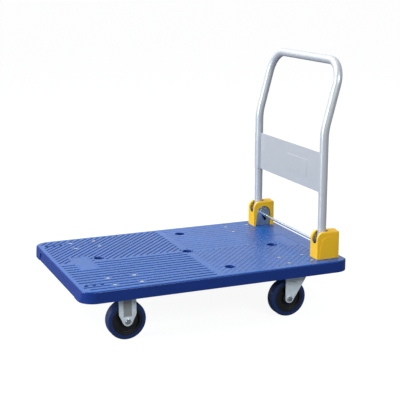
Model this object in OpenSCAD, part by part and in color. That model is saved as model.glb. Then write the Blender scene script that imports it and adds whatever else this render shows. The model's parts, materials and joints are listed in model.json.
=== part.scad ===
// Flatbed platform truck with a moulded deck, two fixed casters, two swivel
// casters and a tubular handle that folds down over the deck.
// Millimetres. X runs along the deck towards the handle, Z is up, and the
// origin lies on the floor under the middle of the deck.

/* [Deck] */
// Length of the deck
deck_l = 910; // [880:1:960]
// Width of the deck
deck_w = 600; // [590:1:640]
// Height of the deck's top face above the floor
deck_top = 190; // [188:1:194]
// Height of the skirt round the deck
deck_h = 38; // [34:1:38]
// Corner radius of the deck in plan
deck_corner_r = 50; // [30:1:60]
// Radius of the rounded top edge
deck_edge_r = 6; // [5:1:12]
// How far each end leans in at the top
end_draft = 7; // [4:1:8]
// Thickness of the deck's top skin
skin_t = 5; // [4:0.5:6]
// Thickness of the skirt
skirt_t = 5; // [4:0.5:6]
// Thickness of the ribs under the deck
rib_t = 4; // [3:0.5:6]

/* [Casters] */
// Diameter of the wheels
wheel_d = 125; // [123:1:125]
// Width of the tyres
wheel_w = 34; // [28:1:36]
// Distance of the caster plates from the middle of the deck, along X
caster_x = 294; // [285:1:300]
// Distance of the caster plates from the middle of the deck, along Y
caster_y = 215; // [205:1:218]
// How far the wheel trails behind the kingpin
trail = 31; // [26:1:34]
// Spacing of the caster bolts along X
bolt_dx = 85; // [80:1:88]
// Spacing of the caster bolts along Y
bolt_dy = 70; // [68:1:74]

/* [Handle] */
// Outer diameter of the handle tube
tube_d = 28; // [26:0.5:28]
// Wall of the handle tube
tube_wall = 1.6; // [1.2:0.1:2]
// Distance of each post from the middle plane
post_y = 236; // [230:1:238]
// Position of the posts along X
post_x = 378; // [374:1:382]
// Height of the fold pivot above the floor
pivot_z = 254; // [252:1:256]
// Height of the middle of the bend where the handle starts to lean
bend_z = 608; // [590:1:640]
// Lean of the upper part of the handle, in degrees
lean = 15; // [10:1:18]
// Height of the grip's centre line above the floor
grip_z = 827; // [780:1:850]
// Centre line radius of the two top corners
corner_r = 75; // [60:1:90]

/* [Panel] */
// Lower edge of the panel above the floor
panel_z = 403; // [390:1:430]
// Height of the panel
panel_h = 132; // [110:1:140]
// Thickness of the panel sheet
panel_t = 1.2; // [1:0.1:2]

/* [Foot latch] */
// Diameter of the release bar
bar_d = 10; // [9:0.5:10]
// Travel of the release bar along its slots
bar_travel = 22; // [16:1:22]

/* [Hidden] */
$fn = 64;

// Deck
deck_bot = deck_top - deck_h;
skin_z = deck_top - skin_t;
pad_z = 160;
rib_z = 161;
recess_d = 36;
recess_depth = 8;
recess_at = [[0, 0], [-298, 36], [298, -36], [58, 218], [58, -218]];

// Recessed panel in the end of the deck away from the handle, deepest under the lip
pocket_w = 430;
pocket_d = 8;
pocket_foot_d = 1.5;
pocket_top = deck_top - 14;

// Fasteners, M8 for the plates and M10 for the axles
m8_r = 4;
m8_hole_r = 4.25;
m8_head_r = 7.5;
m8_head_h = 5;
m8_nut_h = 6.5;
thin_nut_h = 4.6;
washer_r = 8;
washer_t = 1.6;
counterbore_r = 8.5;
counterbore_depth = 6;
axle_r = 5;

// Caster
wheel_r = wheel_d / 2;
tyre_t = 14;
rim_r = wheel_r - tyre_t;
plate_l = 110;
plate_w = 94;
plate_t = 3;
fork_gap = 42;
fork_t = 3;
leg_w = 56;
leg_tip_r = 16;
leg_taper_z = 84;
groove_depth = 1.2;
sleeve_r = 7.5;
bearing_r = 12.5;
running = 0.05;
kingpin_r = 6;
kingpin_head_r = 11;
crown_top = 140;
crown_t = 3.5;
race_r = 31;
race_z = 144;
upper_race_z = 152;
ball_r = 3.4;
ball_ring_r = 24;
balls = 18;
dust_r = 33;
swivel_tip_r = 14.5;
swivel_back_x = 28;
swivel_groove_x = [-22, -8];
swivel_groove_w = 6;

// Mounting of the handle brackets
bracket_pitch = 25;
bracket_bolts = [365, 390, 415];
spare_bolts = [-373, -398, -423];
spare_hole_r = 6.5;
bracket_t = 2.5;
bracket_gap = 29;
bracket_x0 = 355;
bracket_x1 = 425.5;
bracket_pad_z = 165;

// Release bar, its slot and the stop above it
bar_r = bar_d / 2;
bar_x = post_x + 11;
bar_z = pivot_z - 23;
slot_angle = -64.5;
slot_clear = 0.3;
stop_x = post_x + 22;
stop_z = pivot_z + 15;
stop_r = stop_x - post_x - tube_d / 2 - 0.3;
bar_half = post_y + bracket_gap / 2 + bracket_t + 3.2;

// Handle
tube_r = tube_d / 2;
tube_foot_z = pivot_z - 12;
bend_r = 200;
lean_start = bend_r * tan(lean / 2);
grip_rise = (grip_z - bend_z) / cos(lean);
bush_r = 6;
tail_r = 18.5;
tube_sides = 32;
spigot_r = (tube_r - tube_wall) * cos(180 / tube_sides) - 0.02;
bend_steps = 5;
corner_steps = 10;

// Bracket cover
cover_l = 80;
cover_x0 = 350;
cover_half = 24;
cover_top = 280;
cover_nose_r = 25;
cover_wall = 2.2;
arch_relief = 2;
cover_slot = tube_r + 1.1;
cover_slot_x = post_x + tube_r + 1.5;
arch_x = 389.5;
arch_z = 236;
arch_r = 26.5;

// ---------------------------------------------------------------- helpers

// A cylinder along Y, centred on the plane y = 0
module rod_y(r, length) {
    rotate([90, 0, 0])
        cylinder(r = r, h = length, center = true);
}

// A plate along Y made from an outline drawn in X and Z
module plate_y(length) {
    rotate([90, 0, 0])
        linear_extrude(length, center = true)
            children();
}

// A hexagon prism along Z, standing on z = 0
module hex(r, h) {
    cylinder(r = r, h = h, $fn = 6);
}

// A rectangle with round corners, centred
module round_rect(l, w, r) {
    square([l - 2 * r, w], center = true);
    square([l, w - 2 * r], center = true);
    for (x = [-1, 1], y = [-1, 1])
        translate([x * (l / 2 - r), y * (w / 2 - r)])
            circle(r);
}

// Copies at the four bolts of one caster plate
module at_plate_bolts() {
    for (x = [-1, 1], y = [-1, 1])
        translate([x * bolt_dx / 2, y * bolt_dy / 2, 0])
            children();
}

// Copies at the four casters
module at_casters() {
    for (x = [-1, 1], y = [-1, 1])
        translate([x * caster_x, y * caster_y, 0])
            children();
}

// Copies at both handle posts
module at_posts() {
    for (y = [-1, 1])
        translate([0, y * post_y, 0])
            children();
}

// Where the tangent from the point p to a circle round the origin touches it
function touch(p, r, side) =
    let (a = atan2(p[1], p[0]) + side * acos(r / norm(p)))
    [r * cos(a), r * sin(a)];

// ------------------------------------------------------------------- deck

// Outline of the deck from the side: both ends lean in and have a round lip
module deck_profile() {
    half = deck_l / 2;
    top = half - end_draft;
    lip = [[top + 0.6, -4], [top - 0.5, -1.6], [top - 2, -0.5], [top - 4.4, 0]];
    translate([0, deck_top])
        polygon(concat(
            [[-half, -deck_h], [half, -deck_h]],
            lip,
            [for (i = [3:-1:0]) [-lip[i][0], lip[i][1]]]
        ));
}

// The outer body of the deck with its rounded top edge
module deck_body() {
    intersection() {
        deck_block();
        plate_y(deck_w + 2)
            deck_profile();
    }
}

// The body of the deck with upright ends
module deck_block() {
    r = deck_edge_r;
    flat_l = deck_l - 2 * deck_corner_r;
    flat_w = deck_w - 2 * deck_corner_r;
    translate([0, 0, deck_bot])
        linear_extrude(deck_h - r)
            round_rect(deck_l, deck_w, deck_corner_r);
    translate([0, 0, deck_bot])
        linear_extrude(deck_h)
            round_rect(deck_l - 2 * r, deck_w - 2 * r, deck_corner_r - r);
    for (s = [-1, 1]) {
        translate([0, s * (deck_w / 2 - r), deck_top - r])
            rotate([0, 90, 0])
                cylinder(r = r, h = flat_l, center = true);
        translate([s * (deck_l / 2 - r), 0, deck_top - r])
            rod_y(r, flat_w);
    }
    for (x = [-1, 1], y = [-1, 1])
        translate([x * flat_l / 2, y * flat_w / 2, deck_top - r])
            rotate_extrude()
                translate([deck_corner_r - r, 0])
                    circle(r);
}

// The hollow under the skin
module deck_hollow() {
    translate([0, 0, deck_bot - 1])
        linear_extrude(skin_z - deck_bot + 1)
            round_rect(deck_l - 2 * (skirt_t + end_draft), deck_w - 2 * skirt_t,
                deck_corner_r - skirt_t);
}

// The ribs and the mounting pads under the skin
module deck_ribs() {
    rib_h = deck_top - rib_z - 1;
    for (y = [-225:75:225])
        translate([0, y, rib_z + rib_h / 2])
            cube([deck_l - 2 * skirt_t + 1, rib_t, rib_h], center = true);
    for (x = [-400:80:400])
        translate([x, 0, rib_z + rib_h / 2])
            cube([rib_t, deck_w - 2 * skirt_t + 1, rib_h], center = true);
    at_casters()
        translate([0, 0, pad_z])
            linear_extrude(deck_top - pad_z - 1)
                square([plate_l + 16, plate_w + 12], center = true);
    for (x = [min(spare_bolts) - 14, bracket_bolts[0] - 14], y = [-1, 1])
        translate([x, y * post_y - 20, bracket_pad_z])
            cube([2 * bracket_pitch + 28, 40, deck_top - bracket_pad_z - 1]);
    translate([-deck_l / 2 + 1, -pocket_w / 2 - skirt_t, deck_bot])
        cube([pocket_d + skirt_t, pocket_w + 2 * skirt_t, deck_h - 2]);
    for (p = recess_at)
        translate([p[0], p[1], deck_top - recess_depth - rib_t])
            cylinder(d = recess_d + 2 * rib_t, h = recess_depth + rib_t - 1);
}

module deck() {
    color("royalblue")
        difference() {
            union() {
                difference() {
                    deck_body();
                    deck_hollow();
                }
                intersection() {
                    deck_ribs();
                    deck_body();
                }
            }
            // Space above each caster plate for the kingpin's head
            at_casters()
                translate([0, 0, deck_bot])
                    cylinder(r = 22, h = skin_z - deck_bot);
            at_casters()
                at_plate_bolts() {
                    translate([0, 0, deck_bot])
                        cylinder(r = m8_hole_r, h = deck_h + 1);
                    translate([0, 0, deck_top - counterbore_depth])
                        cylinder(r = counterbore_r, h = counterbore_depth + 1);
                }
            for (x = bracket_bolts)
                at_posts()
                    translate([x, 0, deck_bot]) {
                        cylinder(r = m8_hole_r, h = deck_h + 1);
                        cylinder(r = counterbore_r, h = bracket_pad_z - deck_bot);
                    }
            for (x = spare_bolts)
                at_posts()
                    translate([x, 0, deck_bot])
                        cylinder(r = spare_hole_r, h = deck_h + 1);
            // Shallow round recesses in the top
            for (p = recess_at)
                translate([p[0], p[1], deck_top - recess_depth])
                    cylinder(d = recess_d, h = recess_depth + 1);
            // Recessed panel under the lip of the end
            translate([-deck_l / 2, 0, deck_bot])
                plate_y(pocket_w)
                    polygon([
                        [-1, -1], [pocket_foot_d, -1],
                        [pocket_d, pocket_top - deck_bot], [-1, pocket_top - deck_bot]
                    ]);
        }
}

// ---------------------------------------------------------------- casters

module caster_bolts() {
    color("silver")
        at_casters()
            at_plate_bolts() {
                translate([0, 0, deck_top - counterbore_depth])
                    hex(m8_head_r, m8_head_h);
                translate([0, 0, pad_z - plate_t - washer_t - m8_nut_h - 2])
                    cylinder(r = m8_r, h = deck_top - counterbore_depth - pad_z + plate_t
                        + washer_t + m8_nut_h + 2.1);
            }
}

module caster_washers() {
    color("silver")
        at_casters()
            at_plate_bolts()
                translate([0, 0, pad_z - plate_t - washer_t])
                    difference() {
                        cylinder(r = washer_r, h = washer_t);
                        translate([0, 0, -1])
                            cylinder(r = m8_hole_r, h = washer_t + 2);
                    }
}

module caster_nuts() {
    color("silver")
        at_casters()
            at_plate_bolts()
                translate([0, 0, pad_z - plate_t - washer_t - m8_nut_h])
                    difference() {
                        hex(m8_head_r, m8_nut_h);
                        translate([0, 0, -1])
                            cylinder(r = m8_r, h = m8_nut_h + 2);
                    }
}

// The flat plate of a caster with its four bolt holes
module caster_plate() {
    translate([0, 0, pad_z - plate_t])
        difference() {
            linear_extrude(plate_t)
                round_rect(plate_l, plate_w, 8);
            at_plate_bolts()
                translate([0, 0, -1])
                    cylinder(r = m8_hole_r, h = plate_t + 2);
        }
}

// Outline of a fixed fork's leg, in X and Z
module rigid_leg_outline() {
    shoulder = [leg_w / 2, leg_taper_z - wheel_r];
    right = touch(shoulder, leg_tip_r, -1);
    top = pad_z - wheel_r - 1;
    translate([0, wheel_r]) {
        polygon([
            [-shoulder[0], top], [-shoulder[0], shoulder[1]], [-right[0], right[1]], [0, 0],
            right, shoulder, [shoulder[0], top]
        ]);
        circle(leg_tip_r);
    }
}

module rigid_fork(side) {
    leg_y = (fork_gap + fork_t) / 2;
    color("lightgray")
        translate([-caster_x, side * caster_y, 0])
            difference() {
                union() {
                    caster_plate();
                    for (y = [-1, 1])
                        translate([0, y * leg_y, 0])
                            plate_y(fork_t)
                                rigid_leg_outline();
                }
                // Pressed groove down the middle of each leg
                for (y = [-1, 1])
                    translate([0, y * (fork_gap / 2 + fork_t), 0])
                        plate_y(2 * groove_depth)
                            translate([-leg_w / 4, wheel_r + 14])
                                square([leg_w / 2, 66]);
                translate([0, 0, wheel_r])
                    rod_y(axle_r, fork_gap + 4 * fork_t);
            }
}

module top_plate(side) {
    color("lightgray")
        translate([caster_x, side * caster_y, 0])
            difference() {
                union() {
                    caster_plate();
                    translate([0, 0, upper_race_z])
                        cylinder(r = race_r - 1, h = pad_z - plate_t - upper_race_z + 1);
                }
                translate([0, 0, upper_race_z - 1])
                    cylinder(r = kingpin_r, h = 20);
                translate([0, 0, upper_race_z - 1])
                    cylinder(r = kingpin_r + 8, h = pad_z - plate_t - upper_race_z);
            }
}

module dust_cover(side) {
    color("silver")
        translate([caster_x, side * caster_y, race_z - 1])
            difference() {
                cylinder(r = dust_r, h = pad_z - plate_t - race_z + 1);
                translate([0, 0, -1])
                    cylinder(r = race_r + 0.5, h = 30);
            }
}

module kingpin(side) {
    foot_z = crown_top - crown_t - 10;
    color("silver")
        translate([caster_x, side * caster_y, 0]) {
            translate([0, 0, foot_z])
                cylinder(r = kingpin_r, h = pad_z + 0.1 - foot_z);
            translate([0, 0, pad_z])
                cylinder(r = kingpin_head_r, h = 4);
        }
}

module kingpin_nut(side) {
    color("silver")
        translate([caster_x, side * caster_y, crown_top - crown_t - 8.3])
            difference() {
                hex(11, 8);
                translate([0, 0, -1])
                    cylinder(r = kingpin_r, h = 10);
            }
}

module ball_ring(side) {
    color("gainsboro")
        translate([caster_x, side * caster_y, (race_z + upper_race_z) / 2])
            for (i = [0:balls - 1])
                rotate([0, 0, i * 360 / balls])
                    translate([ball_ring_r, 0, 0])
                        sphere(r = ball_r, $fn = 24);
}

// Outline of a swivel fork's leg, in X and Z, measured from the kingpin
module swivel_leg_outline() {
    shoulder = [swivel_back_x + trail, crown_top - crown_t - wheel_r - 8];
    right = touch(shoulder, swivel_tip_r, -1);
    top = crown_top - wheel_r;
    translate([-trail, wheel_r]) {
        polygon([
            [-swivel_tip_r, top], [-swivel_tip_r, 0], [0, 0], right, shoulder,
            [shoulder[0], top]
        ]);
        circle(swivel_tip_r);
    }
}

module swivel_fork(side) {
    leg_y = (fork_gap + fork_t) / 2;
    nose_x = trail + swivel_tip_r;
    crown_w = fork_gap + 2 * fork_t;
    color("lightgray")
        translate([caster_x, side * caster_y, 0])
            difference() {
                union() {
                    translate([-nose_x, -crown_w / 2, crown_top - crown_t])
                        cube([nose_x + swivel_back_x, crown_w, crown_t]);
                    translate([0, 0, crown_top - crown_t])
                        cylinder(r = race_r, h = race_z - crown_top + crown_t);
                    for (y = [-1, 1])
                        translate([0, y * leg_y, 0])
                            plate_y(fork_t)
                                swivel_leg_outline();
                }
                translate([0, 0, crown_top - crown_t - 1])
                    cylinder(r = kingpin_r + running, h = 20);
                translate([0, 0, crown_top])
                    cylinder(r = kingpin_r + 9, h = 20);
                translate([-trail, 0, wheel_r])
                    rod_y(axle_r, fork_gap + 4 * fork_t);
                // Pressed grooves at the top of each leg
                for (x = swivel_groove_x, y = [-1, 1])
                    translate([x, y * (fork_gap / 2 + fork_t), 0])
                        plate_y(2 * groove_depth)
                            translate([-swivel_groove_w / 2, crown_top - crown_t - 30])
                                square([swivel_groove_w, 28]);
            }
}

// Everything on one axle is drawn at the place of that axle
module at_axle(end, side) {
    x = end < 0 ? -caster_x : caster_x - trail;
    translate([x, side * caster_y, wheel_r])
        children();
}

module tyre(end, side) {
    shoulder_r = 6;
    color("midnightblue")
        at_axle(end, side)
            rotate([90, 0, 0])
                rotate_extrude($fn = 96) {
                    translate([rim_r, -wheel_w / 2])
                        square([tyre_t - shoulder_r, wheel_w]);
                    translate([rim_r, -wheel_w / 2 + shoulder_r])
                        square([tyre_t, wheel_w - 2 * shoulder_r]);
                    for (s = [-1, 1])
                        translate([wheel_r - shoulder_r, s * (wheel_w / 2 - shoulder_r)])
                            circle(shoulder_r);
                }
}

module hub(end, side) {
    rim_w = wheel_w - 2;
    rim_t = 8;
    web_t = 12;
    boss_r = 19;
    boss_w = fork_gap - 4;
    color("#1c1c20")
        at_axle(end, side)
            rotate([90, 0, 0])
                rotate_extrude($fn = 96) {
                    translate([rim_r - rim_t, -rim_w / 2])
                        square([rim_t, rim_w]);
                    translate([boss_r - 1, -web_t / 2])
                        square([rim_r - rim_t - boss_r + 2, web_t]);
                    translate([bearing_r, -boss_w / 2])
                        square([boss_r - bearing_r, boss_w]);
                }
}

module bearing(end, side) {
    length = fork_gap - 4;
    color("gray")
        at_axle(end, side)
            difference() {
                rod_y(bearing_r, length);
                rod_y(sleeve_r + running, length + 2);
            }
}

module axle_sleeve(end, side) {
    color("silver")
        at_axle(end, side)
            difference() {
                rod_y(sleeve_r, fork_gap);
                rod_y(axle_r, fork_gap + 2);
            }
}

module axle_bolt(end, side) {
    outer = fork_gap / 2 + fork_t;
    color("silver")
        at_axle(end, side) {
            rod_y(axle_r, 2 * outer + 0.1);
            translate([0, -side * (outer + 4), 0])
                rod_y(axle_r, 8);
            translate([0, side * outer, 0])
                rotate([-side * 90, 0, 0])
                    hex(9.2, 6);
        }
}

module axle_nut(end, side) {
    outer = fork_gap / 2 + fork_t;
    color("silver")
        at_axle(end, side)
            translate([0, -side * outer, 0])
                rotate([side * 90, 0, 0])
                    difference() {
                        hex(9.2, 7);
                        translate([0, 0, -1])
                            cylinder(r = axle_r, h = 9);
                    }
}

// --------------------------------------------------- handle bracket and lock

// Outline of a bracket's side plate, in X and Z
module bracket_outline() {
    translate([bracket_x0, deck_top])
        square([bracket_x1 - bracket_x0, stop_z - deck_top - 20]);
    translate([bracket_x0 + 7, deck_top])
        square([stop_x - bracket_x0 - 7, pivot_z - deck_top]);
    translate([post_x, pivot_z])
        circle(16);
    translate([post_x, stop_z - 12])
        square([stop_x - post_x, 20]);
    translate([stop_x, stop_z])
        circle(8);
    translate([stop_x, deck_top])
        square([8, stop_z - deck_top]);
}

// The slot that the release bar runs in, in X and Z
module bar_slot() {
    r = bar_r + slot_clear;
    translate([bar_x, bar_z])
        rotate(slot_angle) {
            circle(r);
            translate([0, -r])
                square([bar_travel, 2 * r]);
            translate([bar_travel, 0])
                circle(r);
        }
}

module bracket(side) {
    half = bracket_gap / 2;
    color("lightsteelblue")
        translate([0, side * post_y, 0])
            difference() {
                union() {
                    for (s = [-1, 1])
                        translate([0, s * (half + bracket_t / 2), 0])
                            plate_y(bracket_t)
                                difference() {
                                    bracket_outline();
                                    bar_slot();
                                }
                    translate([bracket_x0, -half - 0.1, deck_top])
                        cube([bracket_x1 - bracket_x0, 2 * half + 0.2, plate_t]);
                    translate([bracket_x1 - bracket_t, -half - 0.1, deck_top])
                        cube([bracket_t, 2 * half + 0.2, 44]);
                }
                for (x = bracket_bolts)
                    translate([x, 0, deck_top - 1])
                        cylinder(r = m8_hole_r, h = 10);
                translate([post_x, 0, pivot_z])
                    rod_y(m8_r, 60);
                translate([stop_x, 0, stop_z])
                    rod_y(m8_r, 60);
            }
}

// Outline of a cover seen from the side, in X and Z
module cover_outline(inset) {
    x0 = cover_x0 + inset;
    x1 = cover_x0 + cover_l - inset;
    z1 = cover_top - inset;
    nose = cover_nose_r - inset;
    translate([x0, deck_top])
        square([x1 - x0, z1 - nose - deck_top]);
    translate([x0 + nose, deck_top])
        square([x1 - x0 - nose - 5, z1 - deck_top]);
    translate([x0 + nose, z1 - nose])
        circle(nose);
    translate([x1 - 5, deck_top])
        square([5, z1 - 5 - deck_top]);
    translate([x1 - 5, z1 - 5])
        circle(5);
}

// The opening in the inner wall of a cover, in X and Z
module arch_outline() {
    polygon([
        [arch_x - arch_r - 6, deck_top - 1], [arch_x - arch_r, arch_z],
        [arch_x + arch_r, arch_z], [arch_x + arch_r - 1, deck_top - 1]
    ]);
    translate([arch_x, arch_z])
        circle(arch_r);
}

module bracket_cover(side) {
    hump_r = 48;
    hump_h = 3;
    top_r = 5;
    inner = 2 * (cover_half - cover_wall);
    color("gold")
        translate([0, side * post_y, 0])
            difference() {
                union() {
                    intersection() {
                        plate_y(2 * cover_half)
                            cover_outline(0);
                        // Rounds the long top edges
                        translate([cover_x0 + cover_l / 2, 0, deck_top])
                            rotate([90, 0, 90])
                                linear_extrude(cover_l + 2, center = true)
                                    round_rect(2 * cover_half, 2 * (cover_top - deck_top), top_r);
                    }
                    // Raised crown behind the tube
                    intersection() {
                        translate([cover_slot_x, 0, cover_top + hump_h - hump_r])
                            rotate([0, 90, 0])
                                cylinder(r = hump_r, h = 33);
                        translate([cover_slot_x, -19, cover_top - 2])
                            cube([33, 38, 8]);
                    }
                    // Raised arch on the outer wall
                    translate([0, side * (cover_half + arch_relief / 2), 0])
                        plate_y(arch_relief)
                            intersection() {
                                translate([0, 1])
                                    arch_outline();
                                translate([cover_x0, deck_top])
                                    square([cover_l, 90]);
                            }
                }
                difference() {
                    translate([0, 0, -0.1])
                        plate_y(inner)
                            cover_outline(cover_wall + 0.4);
                    // Locating ribs that hold the cover on the bracket
                    for (x = [cover_x0 + 4, cover_x0 + cover_l - 11])
                        translate([x, side * (cover_half - 4.45) - 2.5, deck_top])
                            cube([3, 5, 50]);
                }
                translate([cover_x0 + cover_wall, -cover_half + cover_wall, deck_top - 1])
                    cube([cover_l - 2 * cover_wall, inner, 3]);
                // Slot that the tube stands in and folds through
                translate([cover_x0 - 1, -cover_slot, pivot_z])
                    cube([cover_slot_x - cover_x0 + 1, 2 * cover_slot, 60]);
                translate([cover_x0 - 1, 0, pivot_z])
                    rotate([0, 90, 0])
                        cylinder(r = cover_slot, h = 20);
                translate([0, -side * cover_half, 0])
                    plate_y(8)
                        arch_outline();
            }
}

module bracket_bolts() {
    base_z = deck_top + plate_t;
    foot_z = bracket_pad_z - washer_t - m8_nut_h - 2;
    color("silver")
        at_posts()
            for (x = bracket_bolts) {
                translate([x, 0, base_z])
                    hex(m8_head_r, m8_head_h);
                translate([x, 0, foot_z])
                    cylinder(r = m8_r, h = base_z + 0.1 - foot_z);
            }
}

module bracket_washers() {
    color("silver")
        at_posts()
            for (x = bracket_bolts)
                translate([x, 0, bracket_pad_z - washer_t])
                    difference() {
                        cylinder(r = washer_r, h = washer_t);
                        translate([0, 0, -1])
                            cylinder(r = m8_hole_r, h = washer_t + 2);
                    }
}

module bracket_nuts() {
    color("silver")
        at_posts()
            for (x = bracket_bolts)
                translate([x, 0, bracket_pad_z - washer_t - m8_nut_h])
                    difference() {
                        hex(m8_head_r, m8_nut_h);
                        translate([0, 0, -1])
                            cylinder(r = m8_r, h = m8_nut_h + 2);
                    }
}

// Bolts through both plates of a bracket, with a low head on the outer side
module cross_bolts(x, z, reach) {
    outer = bracket_gap / 2 + bracket_t;
    for (side = [-1, 1])
        translate([x, side * post_y, z]) {
            rotate([side * 90, 0, 0])
                translate([0, 0, -outer - 0.1])
                    cylinder(r = m8_r, h = 2 * outer + reach + 0.1);
            rotate([-side * 90, 0, 0])
                translate([0, 0, outer])
                    cylinder(r = 7, h = 3.6);
        }
}

module pivot_bolts() {
    color("silver")
        cross_bolts(post_x, pivot_z, 6);
}

module pivot_nuts() {
    color("silver")
        for (side = [-1, 1])
            translate([post_x, side * (post_y - bracket_gap / 2 - bracket_t), pivot_z])
                rotate([side * 90, 0, 0])
                    difference() {
                        hex(m8_head_r, thin_nut_h);
                        translate([0, 0, -1])
                            cylinder(r = m8_r, h = m8_nut_h);
                    }
}

module stop_bolts() {
    color("silver")
        cross_bolts(stop_x, stop_z, 4.6);
}

module stop_sleeves() {
    color("silver")
        for (side = [-1, 1])
            translate([stop_x, side * post_y, stop_z])
                difference() {
                    rod_y(stop_r, bracket_gap);
                    rod_y(m8_r, bracket_gap + 2);
                }
}

// ----------------------------------------------------------------- handle

// Frames [centre, u, v] of the rings along half of the handle, from the foot of
// the right post to the middle of the grip
function handle_frames() =
    let (
        across = [0, 1, 0],
        up = [sin(lean), 0, cos(lean)],
        vertex = [post_x, -post_y, bend_z],
        corner = vertex + (grip_rise - corner_r) * up,
        foot = [[post_x, -post_y, tube_foot_z], across, [1, 0, 0]],
        bend = [for (i = [0:bend_steps])
            let (f = lean * i / bend_steps)
            [
                [post_x + bend_r * (1 - cos(f)), -post_y, bend_z - lean_start + bend_r * sin(f)],
                across, [cos(f), 0, -sin(f)]
            ]],
        turn = [for (i = [0:corner_steps])
            let (f = 90 * i / corner_steps)
            [
                corner + corner_r * (sin(f) * up + (1 - cos(f)) * across),
                cos(f) * across - sin(f) * up, [cos(lean), 0, -sin(lean)]
            ]],
        last = turn[corner_steps]
    )
    concat([foot], bend, turn, [[[last[0][0], 0, last[0][2]], last[1], last[2]]]);

// Points of one ring of the tube
function ring(f, r) =
    [for (i = [0:tube_sides - 1])
        f[0] + r * (cos(i * 360 / tube_sides) * f[1] + sin(i * 360 / tube_sides) * f[2])];

// Rings of the whole tube at the radius r: the right half, then its mirror image
function tube_rings(r) =
    let (half = [for (f = handle_frames()) ring(f, r)])
    concat(half, [for (i = [len(half) - 2:-1:0]) [for (p = half[i]) [p[0], -p[1], p[2]]]]);

// The bent tube as one swept shape, open at both feet
module swept_tube() {
    outer = tube_rings(tube_r);
    inner = tube_rings(tube_r - tube_wall);
    n = tube_sides;
    rings = len(outer);
    all = rings * n;
    points = concat([for (q = outer) each q], [for (q = inner) each q]);
    walls = [for (k = [0:rings - 2], i = [0:n - 1])
        let (j = (i + 1) % n)
        each [
            [k * n + i, (k + 1) * n + i, (k + 1) * n + j, k * n + j],
            [all + k * n + j, all + (k + 1) * n + j, all + (k + 1) * n + i, all + k * n + i]
        ]];
    ends = [for (i = [0:n - 1])
        let (j = (i + 1) % n, e = all - n)
        each [
            [i, j, all + j, all + i],
            [e + j, e + i, all + e + i, all + e + j]
        ]];
    polyhedron(points, concat(walls, ends));
}

module handle_tube() {
    color("silver")
        difference() {
            swept_tube();
            // Holes for the pivot bushes
            for (side = [-1, 1])
                translate([post_x, side * post_y, pivot_z])
                    rod_y(bush_r, 40);
        }
}

// Plan of the panel: a flat sheet whose ends wrap round the posts
module panel_plan() {
    inner_y = post_y - tube_r;
    translate([post_x - panel_t / 2, -inner_y])
        square([panel_t, 2 * inner_y]);
    for (side = [-1, 1])
        translate([post_x, side * post_y])
            difference() {
                circle(tube_r + panel_t);
                circle(tube_r);
                translate([panel_t / 2, -30])
                    square([30, 60]);
            }
}

module handle_panel() {
    boss_y = [-128, 18];
    boss_z = [440, 496];
    color("gainsboro")
        difference() {
            union() {
                translate([0, 0, panel_z])
                    linear_extrude(panel_h)
                        panel_plan();
                // Raised plain field
                translate([post_x - panel_t / 2 - 1, boss_y[0], boss_z[0]])
                    cube([1.1, boss_y[1] - boss_y[0], boss_z[1] - boss_z[0]]);
            }
            // Three small dimples beside each post
            for (side = [-1, 1], z = [420, 463, 504])
                translate([post_x - panel_t / 2 - 1, side * (post_y - tube_r - 6), z])
                    rotate([0, 90, 0])
                        cylinder(r = 2, h = 1.5, $fn = 24);
        }
}

module pivot_bushes() {
    color("dimgray")
        for (side = [-1, 1])
            translate([post_x, side * post_y, pivot_z])
                difference() {
                    rod_y(bush_r, tube_d);
                    rod_y(m8_r + running, tube_d + 2);
                }
}

module end_plugs() {
    color("dimgray")
        for (side = [-1, 1])
            translate([post_x, side * post_y, 0]) {
                intersection() {
                    translate([0, 0, pivot_z])
                        rod_y(tail_r, tube_d);
                    translate([0, 0, pivot_z - tail_r - 1])
                        cylinder(r = tube_r, h = tube_foot_z - pivot_z + tail_r + 1);
                }
                translate([0, 0, tube_foot_z - 0.1])
                    cylinder(r = spigot_r, h = 5);
            }
}

// -------------------------------------------------------------- release bar

module release_bar() {
    color("silver")
        translate([bar_x, 0, bar_z])
            difference() {
                rod_y(bar_r, 2 * bar_half);
                // Grooves for the clips
                for (side = [-1, 1])
                    translate([0, side * (bar_half - 1.8), 0])
                        difference() {
                            rod_y(bar_r + 1, 1);
                            rod_y(bar_r - 1, 2);
                        }
            }
}

module bar_clips() {
    color("dimgray")
        for (side = [-1, 1])
            translate([bar_x, side * (bar_half - 1.8), bar_z])
                difference() {
                    rod_y(bar_r + 2.5, 1);
                    rod_y(bar_r - 1, 2);
                    translate([0, 0, bar_r])
                        cube([2 * bar_r - 3, 4, 2 * bar_r], center = true);
                }
}

// Tension springs from the stop bolts down to the release bar, on the inner side
module return_springs() {
    spring_r = 2.1;
    wire_r = 0.4;
    dx = bar_x - stop_x;
    dz = bar_z - stop_z;
    top = m8_r + 0.6;
    length = norm([dx, dz]) - top - bar_r - 0.6;
    spring_y = post_y - bracket_gap / 2 - bracket_t - spring_r - 0.2;
    color("gray")
        for (side = [-1, 1])
            translate([stop_x, side * spring_y, stop_z])
                rotate([0, atan2(dx, dz), 0])
                    translate([0, 0, top])
                        difference() {
                            cylinder(r = spring_r, h = length);
                            translate([0, 0, -1])
                                cylinder(r = spring_r - 2 * wire_r, h = length + 2);
                        }
}

// ------------------------------------------------------------------- nodes

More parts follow.
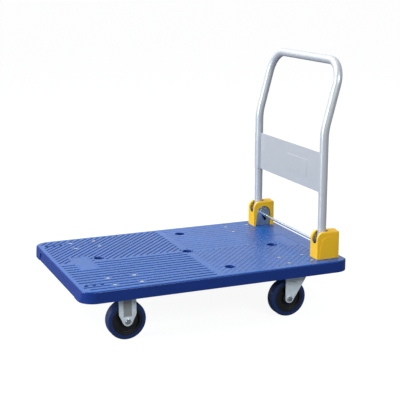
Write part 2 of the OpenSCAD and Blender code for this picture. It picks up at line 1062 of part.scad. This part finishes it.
deck();
caster_bolts();
caster_washers();
caster_nuts();
rigid_fork(-1);  // rigid_fork_right
rigid_fork(1);  // rigid_fork_left
top_plate(-1);  // top_plate_right
top_plate(1);  // top_plate_left
dust_cover(-1);  // dust_cover_right
dust_cover(1);  // dust_cover_left
kingpin(-1);  // kingpin_right
kingpin(1);  // kingpin_left
kingpin_nut(-1);  // kingpin_nut_right
kingpin_nut(1);  // kingpin_nut_left
ball_ring(-1);  // ball_ring_right
ball_ring(1);  // ball_ring_left
swivel_fork(-1);  // swivel_fork_right
swivel_fork(1);  // swivel_fork_left
tyre(-1, -1);  // tyre_rear_right
hub(-1, -1);  // hub_rear_right
bearing(-1, -1);  // bearing_rear_right
axle_sleeve(-1, -1);  // axle_sleeve_rear_right
axle_bolt(-1, -1);  // axle_bolt_rear_right
axle_nut(-1, -1);  // axle_nut_rear_right
tyre(-1, 1);  // tyre_rear_left
hub(-1, 1);  // hub_rear_left
bearing(-1, 1);  // bearing_rear_left
axle_sleeve(-1, 1);  // axle_sleeve_rear_left
axle_bolt(-1, 1);  // axle_bolt_rear_left
axle_nut(-1, 1);  // axle_nut_rear_left
tyre(1, -1);  // tyre_front_right
hub(1, -1);  // hub_front_right
bearing(1, -1);  // bearing_front_right
axle_sleeve(1, -1);  // axle_sleeve_front_right
axle_bolt(1, -1);  // axle_bolt_front_right
axle_nut(1, -1);  // axle_nut_front_right
tyre(1, 1);  // tyre_front_left
hub(1, 1);  // hub_front_left
bearing(1, 1);  // bearing_front_left
axle_sleeve(1, 1);  // axle_sleeve_front_left
axle_bolt(1, 1);  // axle_bolt_front_left
axle_nut(1, 1);  // axle_nut_front_left
bracket(-1);  // bracket_right
bracket(1);  // bracket_left
bracket_cover(-1);  // cover_right
bracket_cover(1);  // cover_left
bracket_bolts();
bracket_washers();
bracket_nuts();
pivot_bolts();
pivot_nuts();
stop_bolts();
stop_sleeves();
handle_tube();
handle_panel();
pivot_bushes();
end_plugs();
release_bar();
bar_clips();
return_springs();
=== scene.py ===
"""Looks of the flatbed platform truck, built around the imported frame. Metres, in the row frame."""

import json
import math

import bmesh
import bpy
import numpy as np
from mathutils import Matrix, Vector


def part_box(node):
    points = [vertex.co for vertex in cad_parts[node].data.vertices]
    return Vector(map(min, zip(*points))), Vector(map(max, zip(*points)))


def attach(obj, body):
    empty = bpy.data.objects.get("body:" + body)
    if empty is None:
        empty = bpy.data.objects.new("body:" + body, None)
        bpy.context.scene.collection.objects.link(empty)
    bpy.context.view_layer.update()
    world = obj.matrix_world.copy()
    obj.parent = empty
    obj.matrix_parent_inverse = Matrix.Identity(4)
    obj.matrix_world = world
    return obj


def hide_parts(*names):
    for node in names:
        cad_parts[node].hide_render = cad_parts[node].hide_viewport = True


MM = 0.001

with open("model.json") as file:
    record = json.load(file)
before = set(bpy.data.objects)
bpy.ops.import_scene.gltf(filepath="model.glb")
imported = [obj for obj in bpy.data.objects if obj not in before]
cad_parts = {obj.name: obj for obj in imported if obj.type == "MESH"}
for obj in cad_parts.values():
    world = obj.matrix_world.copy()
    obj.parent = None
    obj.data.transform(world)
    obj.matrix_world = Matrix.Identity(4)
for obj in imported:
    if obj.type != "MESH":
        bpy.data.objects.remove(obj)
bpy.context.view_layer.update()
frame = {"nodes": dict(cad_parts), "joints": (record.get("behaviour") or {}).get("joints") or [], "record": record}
cad = frame["nodes"]
scene = bpy.context.scene

# ------------------------------------------------------------------ measures

DECK_LO, DECK_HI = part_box("deck")
TOP = DECK_HI.z
JOINTS = {j["name"]: j for j in frame["joints"]}
PIVOT = Vector(JOINTS["handle_fold"]["pos_m"])
HANDLE_LO, HANDLE_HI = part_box("handle_tube")
TUBE_R = 14 * MM
TUBE_WALL = 1.6 * MM
POST_Y = HANDLE_HI.y - TUBE_R
# The middle of a caster plate, in whole millimetres
CASTER_X, CASTER_Y = (round(v / MM) for v in JOINTS["swivel_left"]["pos_m"][:2])

# ------------------------------------------------------------------- helpers


def add_object(name, mesh):
    """A new object in the scene that shows the mesh."""
    obj = bpy.data.objects.new(name, mesh)
    scene.collection.objects.link(obj)
    return obj


def mesh_object(name, verts, faces, material):
    """An object made from lists of vertices and faces."""
    mesh = bpy.data.meshes.new(name)
    mesh.from_pydata([tuple(v) for v in verts], [], faces)
    mesh.validate()
    obj = add_object(name, mesh)
    mesh.materials.append(material)
    return obj


def recalc(obj):
    """Faces turned outwards."""
    bm = bmesh.new()
    bm.from_mesh(obj.data)
    bmesh.ops.recalc_face_normals(bm, faces=bm.faces)
    bm.to_mesh(obj.data)
    bm.free()


def smooth(obj, degrees=35):
    """Smooth shading with sharp edges above an angle."""
    obj.data.polygons.foreach_set("use_smooth", [True] * len(obj.data.polygons))
    obj.data.set_sharp_from_angle(angle=math.radians(degrees))
    obj.data.update()


def apply_modifiers(obj):
    """The object's evaluated mesh in place of its own."""
    graph = bpy.context.evaluated_depsgraph_get()
    graph.update()
    mesh = bpy.data.meshes.new_from_object(obj.evaluated_get(graph))
    obj.modifiers.clear()
    old = obj.data
    obj.data = mesh
    bpy.data.meshes.remove(old)


def weigh_normals(obj):
    """Normals that follow the large faces, so that flat faces shade flat."""
    normals = obj.modifiers.new("normals", "WEIGHTED_NORMAL")
    normals.keep_sharp = True
    normals.weight = 90


def soften(obj, width, segments=2, degrees=32):
    """Small round edges on a hard-surface piece."""
    weld = obj.modifiers.new("weld", "WELD")
    weld.merge_threshold = 0.002 * MM
    flat = obj.modifiers.new("flat", "DECIMATE")
    flat.decimate_type = "DISSOLVE"
    flat.angle_limit = math.radians(0.5)
    bevel = obj.modifiers.new("bevel", "BEVEL")
    bevel.width = width
    bevel.segments = segments
    bevel.limit_method = "ANGLE"
    bevel.angle_limit = math.radians(degrees)
    bevel.miter_outer = "MITER_ARC"
    obj.data.polygons.foreach_set("use_smooth", [True] * len(obj.data.polygons))
    weigh_normals(obj)


def sweep(name, frames, radii, sides, material):
    """A tube through [centre, u, v] frames: one closed shell over the outer and inner radius."""
    verts, faces = [], []
    for radius in radii:
        for centre, u, v in frames:
            for i in range(sides):
                a = 2 * math.pi * i / sides
                verts.append(centre + radius * (math.cos(a) * u + math.sin(a) * v))
    count = len(frames)
    for shell in range(len(radii)):
        base = shell * count * sides
        for k in range(count - 1):
            for i in range(sides):
                j = (i + 1) % sides
                ring = [base + k * sides + i, base + k * sides + j,
                        base + (k + 1) * sides + j, base + (k + 1) * sides + i]
                faces.append(ring)
    for k in (0, count - 1):
        for i in range(sides):
            j = (i + 1) % sides
            a, b = k * sides, (count + k) * sides
            faces.append([a + i, a + j, b + j, b + i])
    obj = mesh_object(name, verts, faces, material)
    recalc(obj)
    smooth(obj, 40)
    return obj


# ----------------------------------------------------------------- materials


class Nodes:
    """A short way to write a node tree."""

    def __init__(self, name):
        self.material = bpy.data.materials.new(name)
        self.material.use_nodes = True
        self.tree = self.material.node_tree
        self.shader = next(n for n in self.tree.nodes if n.type == "BSDF_PRINCIPLED")
        self.coords = self.new("ShaderNodeTexCoord")

    def new(self, kind, **values):
        node = self.tree.nodes.new(kind)
        for key, value in values.items():
            setattr(node, key, value)
        return node

    def link(self, a, b):
        self.tree.links.new(a, b)

    def set(self, **values):
        names = {"metallic": "Metallic", "specular": "Specular IOR Level", "sheen": "Sheen Weight"}
        for key, value in values.items():
            self.shader.inputs[names[key]].default_value = value

    def noise(self, scale, detail=3.0, stretch=(1, 1, 1), roughness=0.5, distortion=0.0):
        """A noise value in object space; scale is in waves per metre."""
        place = self.new("ShaderNodeMapping")
        place.inputs["Scale"].default_value = stretch
        self.link(self.coords.outputs["Object"], place.inputs["Vector"])
        node = self.new("ShaderNodeTexNoise")
        node.inputs["Scale"].default_value = scale
        node.inputs["Detail"].default_value = detail
        node.inputs["Roughness"].default_value = roughness
        node.inputs["Distortion"].default_value = distortion
        self.link(place.outputs["Vector"], node.inputs["Vector"])
        return node.outputs["Fac"]

    def cells(self, scale):
        """A random grey for each cell of a crystal-like pattern."""
        node = self.new("ShaderNodeTexVoronoi")
        node.inputs["Scale"].default_value = scale
        self.link(self.coords.outputs["Object"], node.inputs["Vector"])
        grey = self.new("ShaderNodeSeparateColor")
        self.link(node.outputs["Color"], grey.inputs["Color"])
        return grey.outputs["Red"]

    def remap(self, value, low, high, start=0.3, end=0.7):
        node = self.new("ShaderNodeMapRange")
        node.inputs["From Min"].default_value = start
        node.inputs["From Max"].default_value = end
        node.inputs["To Min"].default_value = low
        node.inputs["To Max"].default_value = high
        self.link(value, node.inputs["Value"])
        return node.outputs["Result"]

    def mix(self, factor, a, b):
        """A colour between a and b, each a colour or a socket."""
        node = self.new("ShaderNodeMix", data_type="RGBA")
        self.link(factor, node.inputs["Factor"])
        for socket, value in ((node.inputs[6], a), (node.inputs[7], b)):
            if isinstance(value, tuple):
                socket.default_value = (*value, 1)
            else:
                self.link(value, socket)
        return node.outputs[2]

    def strip(self, x, half_width, low):
        """1 on an upright strip round a place along X, above a height, and 0 elsewhere."""
        split = self.new("ShaderNodeSeparateXYZ")
        self.link(self.coords.outputs["Object"], split.inputs["Vector"])
        place = self.new("ShaderNodeMath", operation="SUBTRACT")
        place.inputs[1].default_value = x
        self.link(split.outputs["X"], place.inputs[0])
        away = self.new("ShaderNodeMath", operation="ABSOLUTE")
        self.link(place.outputs[0], away.inputs[0])
        across = self.remap(away.outputs[0], 1, 0, half_width - MM, half_width)
        above = self.remap(split.outputs["Z"], 0, 1, low - MM, low + MM)
        both = self.new("ShaderNodeMath", operation="MULTIPLY")
        self.link(across, both.inputs[0])
        self.link(above, both.inputs[1])
        return both.outputs[0]

    def multiply(self, factor, colour, tint):
        """The colour times the tint, as far as the factor says."""
        node = self.new("ShaderNodeMix", data_type="RGBA", blend_type="MULTIPLY")
        self.link(factor, node.inputs["Factor"])
        self.link(colour, node.inputs[6])
        node.inputs[7].default_value = (*tint, 1)
        return node.outputs[2]

    def bump(self, height, distance, strength=1.0, below=None):
        node = self.new("ShaderNodeBump")
        node.inputs["Strength"].default_value = strength
        node.inputs["Distance"].default_value = distance
        self.link(height, node.inputs["Height"])
        if below is not None:
            self.link(below, node.inputs["Normal"])
        return node.outputs["Normal"]

    def finish(self, colour, roughness, normal=None):
        self.link(colour, self.shader.inputs["Base Color"])
        self.link(roughness, self.shader.inputs["Roughness"])
        if normal is not None:
            self.link(normal, self.shader.inputs["Normal"])
        return self.material


def shade(colour, factor):
    return tuple(min(1.0, c * factor) for c in colour)


def moulded_plastic(name, colour, rough, grain=0.03 * MM, specular=0.5, variation=0.12, painted_top=None):
    """Moulded plastic: cloudy colour, faint scuffs in the gloss and a fine moulded grain.

    A top of painted light is a (colour, low, high): the plastic turns to that lighter colour between two heights,
    standing in for the top face's brighter reflection.
    """
    n = Nodes(name)
    n.set(specular=specular)
    cloud = n.remap(n.noise(9, detail=4), 0, 1)
    body = n.mix(cloud, shade(colour, 1 - variation), shade(colour, 1 + variation))
    # Painted light: the top face turns lighter and bluer above a height
    if painted_top:
        split = n.new("ShaderNodeSeparateXYZ")
        n.link(n.coords.outputs["Object"], split.inputs["Vector"])
        height = n.remap(split.outputs["Z"], 0, 1, painted_top[1], painted_top[2])
        painted_top_colour = n.mix(cloud, shade(painted_top[0], 1 - variation), shade(painted_top[0], 1 + variation))
        body = n.mix(height, body, painted_top_colour)
    scuff = n.noise(38, detail=5, stretch=(1, 2.4, 1), distortion=0.6)
    gloss = n.remap(scuff, rough * 0.82, rough * 1.22)
    flow = n.bump(n.noise(55, detail=2), 0.12 * MM, 0.35)
    return n.finish(body, gloss, n.bump(n.noise(1500, detail=2), grain, 0.6, flow))


def powder_coat(name, colour, rough):
    """Silver-grey powder coat: faint sparkle and orange peel."""
    n = Nodes(name)
    n.set(metallic=0.35, specular=0.45)
    fine = n.mix(n.cells(2200), shade(colour, 0.98), shade(colour, 1.02))
    cloud = n.remap(n.noise(12, detail=3), 0, 1)
    body = n.mix(cloud, fine, shade(colour, 0.97))
    gloss = n.remap(n.noise(60, detail=2), rough * 0.94, rough * 1.06)
    return n.finish(body, gloss, n.bump(n.noise(620, detail=1), 0.006 * MM, 0.2))


# Painted shade: the tint that darkens the strip in the fixed forks' pressed groove
RECESS_SHADE_TINT = (0.45, 0.43, 0.40)
# Painted shade on a strip just inside the groove pressed into the fixed forks' legs: half its width and its foot
FORK_SHADE_HALF = 13.8 * MM
FORK_SHADE_FOOT = 76.5 * MM


def plated_steel(name, colour, rough, grain=(1, 1, 1), tint=None, metallic=1.0, painted_shade=None):
    """Zinc plate: faint crystals, rolling grain and an uneven passivation tint.

    A strip of painted shade is (x, half its width, its lowest z), and is tinted darker, standing in for the shade
    in a pressed groove.
    """
    n = Nodes(name)
    n.set(metallic=metallic)
    base = n.mix(n.cells(420), shade(colour, 0.94), shade(colour, 1.05))
    stain = n.remap(n.noise(34, detail=5, distortion=0.8), 0, 1, 0.42, 0.68)
    body = n.mix(stain, base, tint or shade(colour, 0.86))
    if painted_shade:
        # Painted shade in the pressed groove: the strip is darkened by the tint
        body = n.multiply(n.strip(*painted_shade), body, RECESS_SHADE_TINT)
    gloss = n.remap(n.noise(160, detail=4, stretch=grain), rough * 0.75, rough * 1.3)
    return n.finish(body, gloss, n.bump(n.noise(380, detail=3, stretch=grain), 0.02 * MM, 0.6))


def bright_bar(name, colour, rough):
    """A bright plated bar: even, with faint handling marks in the gloss."""
    n = Nodes(name)
    n.set(metallic=1.0)
    cloud = n.remap(n.noise(20, detail=3), 0, 1)
    body = n.mix(cloud, shade(colour, 0.97), shade(colour, 1.03))
    gloss = n.remap(n.noise(90, detail=4), rough * 0.9, rough * 1.15)
    return n.finish(body, gloss)


def rubber(name, colour, rough):
    """Elastic rubber: dull, with a fine dusty bloom."""
    n = Nodes(name)
    n.set(specular=0.35, sheen=0.08)
    dust = n.remap(n.noise(70, detail=6, roughness=0.65), 0, 1, 0.45, 0.75)
    body = n.mix(dust, colour, shade(colour, 1.35))
    gloss = n.remap(n.noise(120, detail=4), rough * 0.85, rough * 1.15)
    return n.finish(body, gloss, n.bump(n.noise(900, detail=3), 0.04 * MM, 0.6))


LOOKS = {
    # The deck's top is painted lighter and bluer than its sides, as painted light
    "deck_blue": moulded_plastic(
        "deck_blue", (0.008, 0.034, 0.205), 0.28, specular=0.3, variation=0.06,
        painted_top=((0.012, 0.092, 0.340), TOP - 3 * MM, TOP - 0.3 * MM)),
    "cover_yellow": moulded_plastic("cover_yellow", (0.920, 0.510, 0.014), 0.36, variation=0.04),
    "handle_grey": powder_coat("handle_grey", (0.620, 0.620, 0.630), 0.38),
    # The fixed forks' pressed groove gets a strip of painted shade
    "zinc": plated_steel("zinc", (0.860, 0.940, 0.985), 0.36, grain=(1, 1, 0.12), metallic=0.2,
                         painted_shade=(-CASTER_X * MM, FORK_SHADE_HALF, FORK_SHADE_FOOT)),
    "rod_chrome": bright_bar("rod_chrome", (0.700, 0.790, 0.860), 0.25),
    "zinc_blue": plated_steel("zinc_blue", (0.340, 0.450, 0.600), 0.34, tint=(0.28, 0.36, 0.50),
                              metallic=0.6),
    "fastener": plated_steel("fastener", (0.700, 0.740, 0.780), 0.24, tint=(0.55, 0.58, 0.50)),
    "ball_steel": plated_steel("ball_steel", (0.780, 0.790, 0.800), 0.10),
    "tyre_blue": rubber("tyre_blue", (0.010, 0.028, 0.115), 0.46),
    "hub_black": moulded_plastic("hub_black", (0.010, 0.010, 0.012), 0.42, variation=0.2),
    "nylon_dark": moulded_plastic("nylon_dark", (0.030, 0.030, 0.034), 0.5),
    "spring_steel": plated_steel("spring_steel", (0.340, 0.350, 0.370), 0.28),
}

SLOT_OF = {s["node"]: s["material_slot"] for s in frame["record"]["subparts"]}
for node_name, node in cad.items():
    node.data.materials.clear()
    node.data.materials.append(LOOKS[SLOT_OF[node_name]])


def stand_in(obj, body, *node_names):
    """The object rides on a body and stands for CAD nodes, which are hidden."""
    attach(obj, body)
    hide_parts(*node_names)


# ---------------------------------------------------------------------- deck

DIAGONAL_PITCH = 16.6 * MM
LENGTHWAYS_PITCH = 24.0 * MM
FINE_GROOVE = ((0.4 * MM, 8.8 * MM), (-0.4 * MM, 7.2 * MM), (-1.8 * MM, 6.4 * MM))
SHALLOW_GROOVE = ((0.4 * MM, 8.8 * MM), (-0.2 * MM, 7.2 * MM), (-0.9 * MM, 6.4 * MM))
WIDE_GROOVE = ((0.4 * MM, 10.2 * MM), (-0.4 * MM, 8.6 * MM), (-2.0 * MM, 8.0 * MM))
FAINT_GROOVE = ((0.4 * MM, 7.0 * MM), (-0.1 * MM, 5.4 * MM), (-0.5 * MM, 4.8 * MM))
# Each quadrant's sides of the middle, the direction of its ribs, their pitch and their grooves
QUADRANTS = (
    (-1, -1, (1, 0), LENGTHWAYS_PITCH, WIDE_GROOVE), (1, 1, (1, 0), LENGTHWAYS_PITCH, FAINT_GROOVE),
    (-1, 1, (1, 1), DIAGONAL_PITCH, FINE_GROOVE), (1, -1, (1, 1), DIAGONAL_PITCH, SHALLOW_GROOVE),
)
BAND = 11 * MM
EDGE_MARGIN = 18 * MM
CORNER_R = 50 * MM
RIB_END_X = 385 * MM
LABELS = ((-360 * MM, 0.0), (366 * MM, 0.0))
LABEL_HALF = Vector((31 * MM, 76 * MM))
RECESSES = [(0, 0), (-298, 36), (298, -36), (58, 218), (58, -218)]
RECESS_CLEAR = 21.5 * MM
# Caster bolts from the middle of their plate, and the holes in line with the posts
CASTERS = [(sx * CASTER_X, sy * CASTER_Y) for sx in (-1, 1) for sy in (-1, 1)]
CASTER_BOLTS = [(x, y) for x in (-42.5, 42.5) for y in (-35, 35)]
BOLT_CLEAR = 11.5 * MM
POST_LINE_HOLES = (-373, -398, -423, 365)
HOLE_CLEAR = 8 * MM
# Grooves are traced in steps along lines on both sides of the middle; short ones are left out
TRACE_STEP = 1.0 * MM
TRACE_STEPS = 800
LINES = 50
SHORTEST_GROOVE = 14 * MM
LABEL_RIM = 5 * MM
LABEL_DEPTH = 0.5 * MM
# Parting line on each long side: half its width, its depth and its distance below the top
SEAM_HALF = 0.4 * MM
SEAM_DEPTH = 0.35 * MM
SEAM_DROP = 8 * MM


def in_ribs(x, y):
    """Whether the ribbed field covers each point of the deck's top."""
    middle = (DECK_LO.x + DECK_HI.x) / 2
    half_l = DECK_HI.x - middle - EDGE_MARGIN
    half_w = DECK_HI.y - EDGE_MARGIN
    r = CORNER_R - EDGE_MARGIN
    dx = np.maximum(np.abs(x - middle) - (half_l - r), 0)
    dy = np.maximum(np.abs(y) - (half_w - r), 0)
    inside = np.hypot(dx, dy) < r
    inside &= (np.abs(x) > BAND) & (np.abs(y) > BAND) & (x < RIB_END_X)
    for cx, cy in LABELS:
        inside &= ~((np.abs(x - cx) < LABEL_HALF.x) & (np.abs(y - cy) < LABEL_HALF.y))
    for cx, cy in RECESSES:
        inside &= np.hypot(x - cx * MM, y - cy * MM) > RECESS_CLEAR
    for cx, cy in CASTERS:
        for bx, by in CASTER_BOLTS:
            inside &= np.hypot(x - (cx + bx) * MM, y - (cy + by) * MM) > BOLT_CLEAR
    for cx in POST_LINE_HOLES:
        inside &= np.hypot(x - cx * MM, np.abs(y) - POST_Y) > HOLE_CLEAR
    return inside


def groove_block(start, end, levels, verts, faces):
    """One groove cutter from start to end, narrower and shorter towards its bottom."""
    along = (end - start).normalized()
    across = Vector((-along.y, along.x))
    base = len(verts)
    for z, width in levels:
        inset = (levels[0][1] - width) / 2
        a, b = start + along * inset, end - along * inset
        for p, s in ((a, -1), (b, -1), (b, 1), (a, 1)):
            q = p + across * (s * width / 2)
            verts.append((q.x, q.y, TOP + z))
    for level in range(len(levels) - 1):
        o = base + 4 * level
        for i in range(4):
            j = (i + 1) % 4
            faces.append([o + i, o + j, o + 4 + j, o + 4 + i])
    last = base + 4 * (len(levels) - 1)
    faces.append([base, base + 3, base + 2, base + 1])
    faces.append([last, last + 1, last + 2, last + 3])


def groove_cutters():
    """All grooves between the ribs: two quadrants along X and two on the diagonal."""
    verts, faces = [], []
    for sx, sy, direction, pitch, levels in QUADRANTS:
        along = Vector(direction).normalized()
        across = Vector((-along.y, along.x))
        for k in range(-LINES, LINES + 1):
            origin = across * ((k + 0.5) * pitch)
            t = np.arange(-TRACE_STEPS, TRACE_STEPS) * TRACE_STEP
            x, y = origin.x + t * along.x, origin.y + t * along.y
            ok = in_ribs(x, y) & (x * sx > 0) & (y * sy > 0)
            edges = np.flatnonzero(np.diff(np.concatenate([[0], ok.astype(int), [0]])))
            for a, b in zip(edges[::2], edges[1::2]):
                if (b - a) * TRACE_STEP > SHORTEST_GROOVE:
                    ends = Vector((x[a], y[a])), Vector((x[b - 1], y[b - 1]))
                    groove_block(*ends, levels, verts, faces)
    return verts, faces


def box_block(lo, hi, verts, faces):
    """An upright box added to the lists."""
    base = len(verts)
    for z in (lo[2], hi[2]):
        verts.extend([(lo[0], lo[1], z), (hi[0], lo[1], z), (hi[0], hi[1], z), (lo[0], hi[1], z)])
    faces.extend([[base + i for i in q] for q in
                  ((3, 2, 1, 0), (4, 5, 6, 7), (0, 1, 5, 4), (1, 2, 6, 5), (2, 3, 7, 6), (3, 0, 4, 7))])


def cut(obj, verts, faces):
    """The blocks cut out of the object."""
    cutter = mesh_object("cutter", verts, faces, obj.data.materials[0])
    recalc(cutter)
    hole = obj.modifiers.new("cut", "BOOLEAN")
    hole.operation = "DIFFERENCE"
    hole.solver = "EXACT"
    hole.object = cutter
    apply_modifiers(obj)
    bpy.data.objects.remove(cutter)


def clean_copy(node_name, name):
    """A welded copy of a CAD node's mesh with its flat faces merged."""
    obj = add_object(name, cad[node_name].data.copy())
    bm = bmesh.new()
    bm.from_mesh(obj.data)
    bmesh.ops.remove_doubles(bm, verts=bm.verts, dist=0.002 * MM)
    bmesh.ops.dissolve_limit(bm, angle_limit=math.radians(0.5), verts=bm.verts, edges=bm.edges)
    bm.to_mesh(obj.data)
    bm.free()
    return obj


def make_deck():
    deck = clean_copy("deck", "deck_shell")
    verts, faces = groove_cutters()
    # Label fields, sunk a little below their rims
    for cx, cy in LABELS:
        half_x, half_y = LABEL_HALF.x - LABEL_RIM, LABEL_HALF.y - LABEL_RIM
        box_block((cx - half_x, cy - half_y, TOP - LABEL_DEPTH),
                  (cx + half_x, cy + half_y, TOP + MM), verts, faces)
    # Parting line down the middle of each long side
    for s in (-1, 1):
        y = s * DECK_HI.y
        box_block((-SEAM_HALF, y - SEAM_DEPTH, DECK_LO.z - MM),
                  (SEAM_HALF, y + SEAM_DEPTH, TOP - SEAM_DROP), verts, faces)
    cut(deck, verts, faces)
    smooth(deck, 34)
    weigh_normals(deck)
    stand_in(deck, "frame", "deck")


make_deck()

# -------------------------------------------------------------------- handle

LEAN = math.radians(15)
BEND_Z = 608 * MM
BEND_R = 200 * MM
TOP_BEND_R = 75 * MM
GRIP_Z = HANDLE_HI.z - TUBE_R
TUBE_SIDES = 48
BEND_STEPS = 12
TOP_BEND_STEPS = 20


def handle_frames():
    """Frames along half of the handle, from the foot of the right post to the grip's middle."""
    across, up = Vector((0, 1, 0)), Vector((math.sin(LEAN), 0, math.cos(LEAN)))
    start = Vector((PIVOT.x, -POST_Y, HANDLE_LO.z))
    rise = (GRIP_Z - BEND_Z) / math.cos(LEAN)
    corner = Vector((PIVOT.x, -POST_Y, BEND_Z)) + (rise - TOP_BEND_R) * up
    low = BEND_Z - BEND_R * math.tan(LEAN / 2)
    frames = [(start, across, Vector((1, 0, 0)))]
    for i in range(BEND_STEPS + 1):
        f = LEAN * i / BEND_STEPS
        frames.append((
            Vector((PIVOT.x + BEND_R * (1 - math.cos(f)), -POST_Y, low + BEND_R * math.sin(f))),
            across, Vector((math.cos(f), 0, -math.sin(f))),
        ))
    normal = Vector((math.cos(LEAN), 0, -math.sin(LEAN)))
    for i in range(TOP_BEND_STEPS + 1):
        f = math.radians(90) * i / TOP_BEND_STEPS
        centre = corner + TOP_BEND_R * (math.sin(f) * up + (1 - math.cos(f)) * across)
        frames.append((centre, math.cos(f) * across - math.sin(f) * up, normal))
    last = frames[-1]
    frames.append((Vector((last[0].x, 0, last[0].z)), last[1], last[2]))
    return frames


def make_handle():
    half = handle_frames()
    mirrored = [tuple(Vector((p.x, -p.y, p.z)) for p in f) for f in half[-2::-1]]
    tube = sweep("handle_loop", half + mirrored, (TUBE_R, TUBE_R - TUBE_WALL), TUBE_SIDES,
                 LOOKS["handle_grey"])
    stand_in(tube, "handle", "handle_tube")


make_handle()

# ---------------------------------------------------------- edges of CAD nodes

EDGES = {
    "rigid_fork": 0.8, "swivel_fork": 0.8, "top_plate": 0.5, "dust_cover": 0.6,
    "kingpin": 0.5, "caster_bolts": 0.6, "caster_washers": 0.3, "caster_nuts": 0.5,
    "bracket_bolts": 0.6, "bracket_washers": 0.3, "bracket_nuts": 0.5, "bracket_": 0.4,
    "cover": 0.7, "pivot_bolts": 1.0, "pivot_nuts": 0.5, "stop_bolts": 1.0,
    "axle_bolt": 0.8, "axle_nut": 0.7, "hub": 1.2, "handle_panel": 0.35, "release_bar": 0.5,
    "end_plugs": 0.6,
}
for node_name, node in cad.items():
    if node.hide_render:
        continue
    width = next((w for prefix, w in EDGES.items() if node_name.startswith(prefix)), None)
    if width:
        soften(node, width * MM, 3 if width > 1 else 2)
    else:
        smooth(node)

# --------------------------------------------------------------------- stage


def make_floor():
    size = 60.0
    n = Nodes("floor")
    mesh = bpy.data.meshes.new("floor")
    half = size / 2
    mesh.from_pydata([(-half, -half, 0), (half, -half, 0), (half, half, 0), (-half, half, 0)],
                     [], [(0, 1, 2, 3)])
    floor = add_object("floor", mesh)
    tree = n.tree
    out = next(x for x in tree.nodes if x.type == "OUTPUT_MATERIAL")
    paper = n.new("ShaderNodeBsdfDiffuse")
    paper.inputs["Color"].default_value = (0.15, 0.15, 0.155, 1)
    glow = n.new("ShaderNodeEmission")
    glow.inputs["Strength"].default_value = 0.92
    lit = n.new("ShaderNodeAddShader")
    n.link(paper.outputs[0], lit.inputs[0])
    n.link(glow.outputs[0], lit.inputs[1])
    rays = n.new("ShaderNodeLightPath")
    pick = n.new("ShaderNodeMixShader")
    n.link(rays.outputs["Is Camera Ray"], pick.inputs["Fac"])
    n.link(paper.outputs[0], pick.inputs[1])
    n.link(lit.outputs[0], pick.inputs[2])
    # Nothing of the floor shows from below
    side = n.new("ShaderNodeNewGeometry")
    clear = n.new("ShaderNodeBsdfTransparent")
    sided = n.new("ShaderNodeMixShader")
    n.link(side.outputs["Backfacing"], sided.inputs["Fac"])
    n.link(pick.outputs[0], sided.inputs[1])
    n.link(clear.outputs[0], sided.inputs[2])
    n.link(sided.outputs[0], out.inputs["Surface"])
    mesh.materials.append(n.material)


def make_world():
    world = bpy.data.worlds.new("studio")
    scene.world = world
    world.use_nodes = True
    tree = world.node_tree
    back = next(x for x in tree.nodes if x.type == "BACKGROUND")
    coords = tree.nodes.new("ShaderNodeTexCoord")
    split = tree.nodes.new("ShaderNodeSeparateXYZ")
    tree.links.new(coords.outputs["Generated"], split.inputs["Vector"])
    ramp = tree.nodes.new("ShaderNodeValToRGB")
    ramp.color_ramp.elements[0].position = 0.35
    ramp.color_ramp.elements[0].color = (0.16, 0.17, 0.19, 1)
    ramp.color_ramp.elements[1].position = 0.95
    ramp.color_ramp.elements[1].color = (1.0, 1.0, 1.0, 1)
    # Brighter behind the object than on the camera's side
    depth = tree.nodes.new("ShaderNodeMath")
    depth.operation = "MULTIPLY_ADD"
    depth.inputs[1].default_value = 0.5
    depth.inputs[2].default_value = 0.5
    tree.links.new(split.outputs["Y"], depth.inputs[0])
    tree.links.new(depth.outputs[0], ramp.inputs["Fac"])
    rays = tree.nodes.new("ShaderNodeLightPath")
    pick = tree.nodes.new("ShaderNodeMix")
    pick.data_type = "RGBA"
    tree.links.new(rays.outputs["Is Camera Ray"], pick.inputs["Factor"])
    tree.links.new(ramp.outputs["Color"], pick.inputs[6])
    pick.inputs[7].default_value = (1, 1, 1, 1)
    tree.links.new(pick.outputs[2], back.inputs["Color"])
    back.inputs["Strength"].default_value = 1.0


COOL = (0.88, 0.95, 1.0)
COOLER = (0.82, 0.91, 1.0)


def area_light(name, place, target, size, power, colour):
    light = bpy.data.lights.new(name, "AREA")
    light.shape = "RECTANGLE"
    light.size, light.size_y = size
    light.energy = power
    light.color = colour
    obj = bpy.data.objects.new(name, light)
    scene.collection.objects.link(obj)
    obj.location = place
    obj.rotation_mode = "QUATERNION"
    obj.rotation_quaternion = (Vector(target) - Vector(place)).to_track_quat("-Z", "Y")


def make_camera():
    target = Vector((0.0454, 0.0, 0.362))
    azimuth, elevation, distance = math.radians(-22.776), math.radians(13.09), 3.3547
    back = Vector((math.sin(azimuth) * math.cos(elevation),
                   -math.cos(azimuth) * math.cos(elevation), math.sin(elevation)))
    data = bpy.data.cameras.new("camera")
    data.sensor_width = 36.0
    data.lens = 90.5
    camera = bpy.data.objects.new("camera", data)
    scene.collection.objects.link(camera)
    camera.location = target + distance * back
    camera.rotation_mode = "QUATERNION"
    camera.rotation_quaternion = (-back).to_track_quat("-Z", "Y")
    scene.camera = camera


make_floor()
make_world()
area_light("key", (-1.6, 1.4, 3.2), (0, 0, 0.2), (3.0, 2.4), 125, COOL)
area_light("left", (-3.4, -0.4, 1.3), (0, 0, 0.4), (1.4, 2.4), 100, COOLER)
area_light("front", (0.4, -3.6, 2.4), (0, 0, 0.3), (2.4, 1.2), 95, COOL)
make_camera()
scene.view_settings.view_transform = "Standard"
